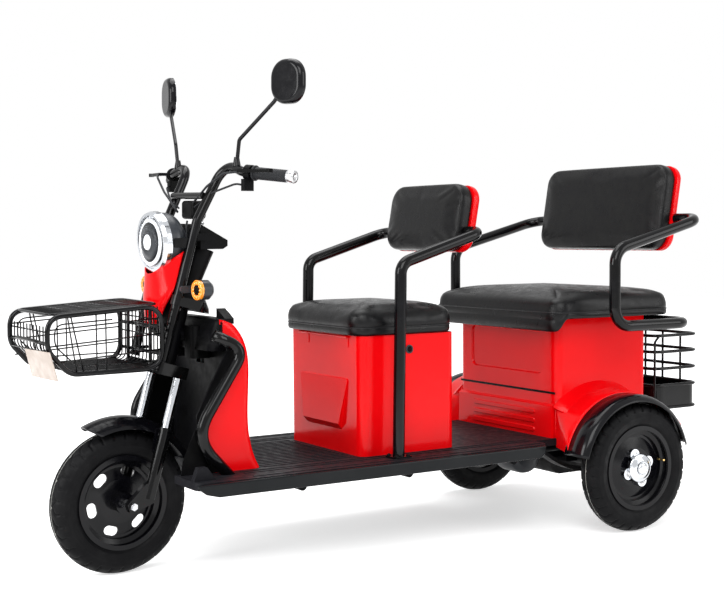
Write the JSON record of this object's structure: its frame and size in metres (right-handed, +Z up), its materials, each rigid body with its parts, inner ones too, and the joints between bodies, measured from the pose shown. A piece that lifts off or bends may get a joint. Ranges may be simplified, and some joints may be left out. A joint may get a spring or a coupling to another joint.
{
  "type": "electric passenger tricycle",
  "caption": "Three-wheeled electric passenger vehicle with a steered front wheel, driver seat, rear bench with armrests, floor deck and wire baskets.",
  "frame": {"origin": "on the ground, under the middle of the whole vehicle", "axes": "+X points forward, +Y to the driver's left, +Z up"},
  "size_m": [2.3494, 0.932, 1.4671],
  "materials": {
    "amber_lens": "amber plastic",
    "black_gloss": "gloss black moulding",
    "black_plastic": "satin black moulding",
    "black_steel": "gloss black enamel",
    "cast_steel": "dark chassis paint",
    "chrome": "bright chrome",
    "clear_lens": "clear glass",
    "deck_plastic": "dark grey textured floor",
    "grip_rubber": "ribbed rubber",
    "red_gloss": "gloss red",
    "red_lens": "red plastic",
    "tyre": "black rubber",
    "vinyl": "grained black vinyl",
    "zinc_steel": "zinc plated"
  },
  "bodies": {
    "chassis": {"battery_pack": "black_plastic", "chassis_frame": "black_steel", "floor_deck": "deck_plastic", "front_backrest_pad": "vinyl", "front_backrest_shell": "red_gloss", "front_cowl": "black_gloss", "front_seat_arms": "black_steel", "front_seat_box": "red_gloss", "guard_tubes": "black_steel", "leg_shield": "red_gloss", "rear_axle": "cast_steel", "rear_backrest_pad": "vinyl", "rear_backrest_shell": "red_gloss", "rear_basket": "black_steel", "rear_fender_left": "black_plastic", "rear_fender_right": "black_plastic", "rear_leaf_springs": "cast_steel", "rear_seat_arms": "black_steel", "rear_seat_box": "red_gloss", "seat_hinges": "zinc_steel", "side_sills": "black_gloss", "tail_lamps": "red_lens"},
    "steering": {"fork_tubes": "chrome", "fork_legs": "black_steel", "fork_crown": "black_steel", "front_axle": "zinc_steel", "front_fender": "black_gloss", "handlebar": "black_steel", "grips": "grip_rubber", "levers": "black_plastic", "mirrors": "black_plastic", "headlight_bowl": "black_gloss", "headlight_ring": "chrome", "headlight_lens": "clear_lens", "front_panel": "red_gloss", "turn_signals": "black_plastic", "turn_lenses": "amber_lens", "dash": "black_plastic", "front_basket": "black_steel"},
    "basket_lid": {"front_basket_lid": "black_steel"},
    "front_seat": {"front_cushion": "vinyl"},
    "rear_seat": {"rear_cushion": "vinyl"},
    "front_wheel": {"front_tyre": "tyre", "front_rim": "black_steel"},
    "rear_left_wheel": {"rear_left_tyre": "tyre", "rear_left_rim": "black_steel", "rear_left_hub": "chrome"},
    "rear_right_wheel": {"rear_right_tyre": "tyre", "rear_right_rim": "black_steel", "rear_right_hub": "chrome"}
  },
  "joints": [
    {"name": "steering_turn", "type": "hinge", "parent": "chassis", "child": "steering", "pos_m": [0.7184, 0, 0.65], "axis": [-0.2723, 0, 0.9622], "range_deg": [-42.3, 33.7]},
    {"name": "front_wheel_spin", "type": "hinge", "parent": "steering", "child": "front_wheel", "pos_m": [0.8932, 0.0036, 0.20796], "axis": [-0.0721, 0.9972, -0.0204], "continuous": true},
    {"name": "rear_left_wheel_spin", "type": "hinge", "parent": "chassis", "child": "rear_left_wheel", "pos_m": [-0.71267, 0.417, 0.208], "axis": [0, 1, 0], "continuous": true},
    {"name": "rear_right_wheel_spin", "type": "hinge", "parent": "chassis", "child": "rear_right_wheel", "pos_m": [-0.71267, -0.417, 0.208], "axis": [0, 1, 0], "continuous": true},
    {"name": "front_seat_lift", "type": "hinge", "parent": "chassis", "child": "front_seat", "pos_m": [0.20933, 0, 0.657], "axis": [0, 1, 0], "range_deg": [0, 75]},
    {"name": "rear_seat_lift", "type": "hinge", "parent": "chassis", "child": "rear_seat", "pos_m": [-0.95167, 0, 0.669], "axis": [0, -1, 0], "range_deg": [0, 50]},
    {"name": "basket_lid_lift", "type": "hinge", "parent": "steering", "child": "basket_lid", "pos_m": [0.82395, 0.0103, 0.77996], "axis": [0.0721, -0.9972, 0.0204], "range_deg": [0, 75]}
  ]
}
